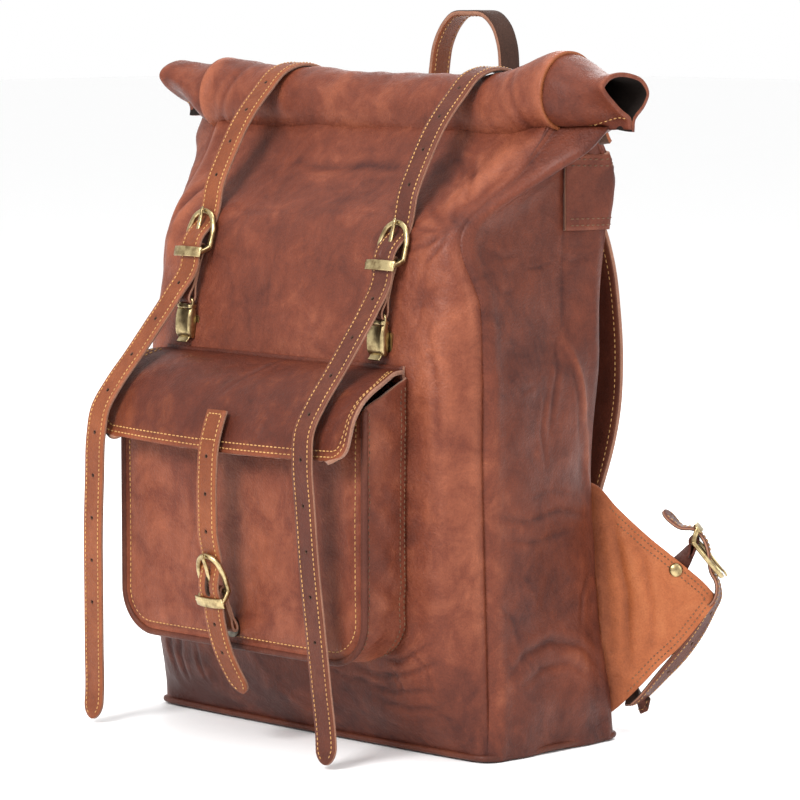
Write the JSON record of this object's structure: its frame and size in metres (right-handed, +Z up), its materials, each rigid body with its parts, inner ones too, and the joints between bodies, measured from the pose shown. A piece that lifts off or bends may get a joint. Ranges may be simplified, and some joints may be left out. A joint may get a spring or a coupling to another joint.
{
  "type": "roll-top leather backpack",
  "caption": "Roll-top leather backpack with a buckled front pocket, buckled closure straps with clips, side strap wings, padded shoulder straps and a grab handle.",
  "frame": {"origin": "centre of the underside, on the surface the bag stands on", "axes": "+Z up, -Y out of the front with the pocket, +X to the right seen from the front"},
  "size_m": [0.4516, 0.3034, 0.508],
  "materials": {
    "body_leather": "semi-gloss pull-up",
    "flap_leather": "semi-gloss pull-up",
    "tan_leather": "satin",
    "dark_leather": "satin",
    "antique_brass": "aged satin",
    "steel": "satin",
    "board": "matt fibre board"
  },
  "bodies": {
    "bag": {"back_panel": "body_leather", "back_yoke": "body_leather", "base_board": "board", "base_panel": "body_leather", "base_welt": "body_leather", "clip_anchor_left": "dark_leather", "clip_anchor_right": "dark_leather", "closure_patch_left": "dark_leather", "closure_patch_right": "dark_leather", "flap_seam": "flap_leather", "front_panel": "body_leather", "magnet_base": "steel", "mouth_hem": "body_leather", "pocket_front": "body_leather", "pocket_gusset": "body_leather", "pocket_piping": "body_leather", "roll_centre": "body_leather", "roll_end_left": "body_leather", "roll_end_right": "body_leather", "shoulder_strap_left": "dark_leather", "shoulder_strap_right": "dark_leather", "side_panel_left": "body_leather", "side_panel_right": "body_leather", "strap_patch": "body_leather"},
    "flap": {"pocket_flap": "flap_leather", "flap_strap": "tan_leather", "pocket_buckle": "antique_brass", "pocket_chape": "tan_leather", "magnet_cap": "steel"},
    "pocket_prong": {"pocket_prong": "antique_brass"},
    "handle": {"handle_strap": "dark_leather"},
    "closure_left": {"closure_strap_left": "dark_leather", "closure_buckle_left": "antique_brass", "closure_chape_left": "dark_leather", "clip_body_left": "antique_brass", "clip_pin_left": "steel"},
    "closure_prong_left": {"closure_prong_left": "antique_brass"},
    "clip_lever_left": {"clip_lever_left": "antique_brass"},
    "tail_left": {"tail_left": "dark_leather"},
    "wing_left": {"wing_left": "tan_leather", "wing_rivet_left": "antique_brass", "wing_chape_left": "tan_leather", "wing_buckle_left": "antique_brass", "adjuster_strap_left": "dark_leather"},
    "wing_prong_left": {"wing_prong_left": "antique_brass"},
    "closure_right": {"closure_strap_right": "dark_leather", "closure_buckle_right": "antique_brass", "closure_chape_right": "dark_leather", "clip_body_right": "antique_brass", "clip_pin_right": "steel"},
    "closure_prong_right": {"closure_prong_right": "antique_brass"},
    "clip_lever_right": {"clip_lever_right": "antique_brass"},
    "tail_right": {"tail_right": "dark_leather"},
    "wing_right": {"wing_right": "tan_leather", "wing_rivet_right": "antique_brass", "wing_chape_right": "tan_leather", "wing_buckle_right": "antique_brass", "adjuster_strap_right": "dark_leather"},
    "wing_prong_right": {"wing_prong_right": "antique_brass"}
  },
  "joints": [
    {"name": "pocket_flap_hinge", "type": "hinge", "parent": "bag", "child": "flap", "pos_m": [0, -0.1045, 0.2665], "axis": [-1, 0, 0], "range_deg": [0, 65]},
    {"name": "pocket_prong_hinge", "type": "hinge", "parent": "flap", "child": "pocket_prong", "pos_m": [-0.004, -0.1594, 0.1115], "axis": [1, 0, 0], "range_deg": [0, 40]},
    {"name": "handle_hinge", "type": "hinge", "parent": "bag", "child": "handle", "pos_m": [0, 0.0695, 0.405], "axis": [-1, 0, 0], "range_deg": [-10, 80]},
    {"name": "closure_right_hinge", "type": "hinge", "parent": "bag", "child": "closure_right", "pos_m": [0.097, 0.0686, 0.405], "axis": [-1, 0, 0], "range_deg": [0, 100]},
    {"name": "closure_prong_right_hinge", "type": "hinge", "parent": "closure_right", "child": "closure_prong_right", "pos_m": [0.097, -0.0911, 0.3405], "axis": [1, 0, 0], "range_deg": [0, 40]},
    {"name": "clip_lever_right_hinge", "type": "hinge", "parent": "closure_right", "child": "clip_lever_right", "pos_m": [0.097, -0.1022, 0.288], "axis": [1, 0, 0], "range_deg": [0, 12], "stiffness_Nm_per_rad": 0.05},
    {"name": "tail_right_hinge", "type": "hinge", "parent": "closure_right", "child": "tail_right", "pos_m": [0.097, -0.09947, 0.33197], "axis": [-1, 0, 0], "range_deg": [0, 65]},
    {"name": "wing_right_hinge", "type": "hinge", "parent": "bag", "child": "wing_right", "pos_m": [0.164, 0.0676, 0.022], "axis": [-0.1334, 0, 0.9911], "range_deg": [-8, 8]},
    {"name": "wing_prong_right_hinge", "type": "hinge", "parent": "wing_right", "child": "wing_prong_right", "pos_m": [0.19879, 0.10737, 0.13939], "axis": [0.6158, -0.7835, 0.0829], "range_deg": [0, 40]},
    {"name": "closure_left_hinge", "type": "hinge", "parent": "bag", "child": "closure_left", "pos_m": [-0.097, 0.0686, 0.405], "axis": [-1, 0, 0], "range_deg": [0, 100]},
    {"name": "closure_prong_left_hinge", "type": "hinge", "parent": "closure_left", "child": "closure_prong_left", "pos_m": [-0.097, -0.0911, 0.3405], "axis": [1, 0, 0], "range_deg": [0, 40]},
    {"name": "clip_lever_left_hinge", "type": "hinge", "parent": "closure_left", "child": "clip_lever_left", "pos_m": [-0.097, -0.1022, 0.288], "axis": [1, 0, 0], "range_deg": [0, 12], "stiffness_Nm_per_rad": 0.05},
    {"name": "tail_left_hinge", "type": "hinge", "parent": "closure_left", "child": "tail_left", "pos_m": [-0.097, -0.09947, 0.33197], "axis": [-1, 0, 0], "range_deg": [0, 65]},
    {"name": "wing_left_hinge", "type": "hinge", "parent": "bag", "child": "wing_left", "pos_m": [-0.164, 0.0676, 0.022], "axis": [0.1334, 0, 0.9911], "range_deg": [-8, 8]},
    {"name": "wing_prong_left_hinge", "type": "hinge", "parent": "wing_left", "child": "wing_prong_left", "pos_m": [-0.19879, 0.10737, 0.13939], "axis": [0.6158, 0.7835, -0.0829], "range_deg": [0, 40]}
  ],
  "couplings": [
    {"joint": "tail_right_hinge", "follows": "pocket_flap_hinge", "ratio": 1},
    {"joint": "tail_left_hinge", "follows": "pocket_flap_hinge", "ratio": 1}
  ]
}
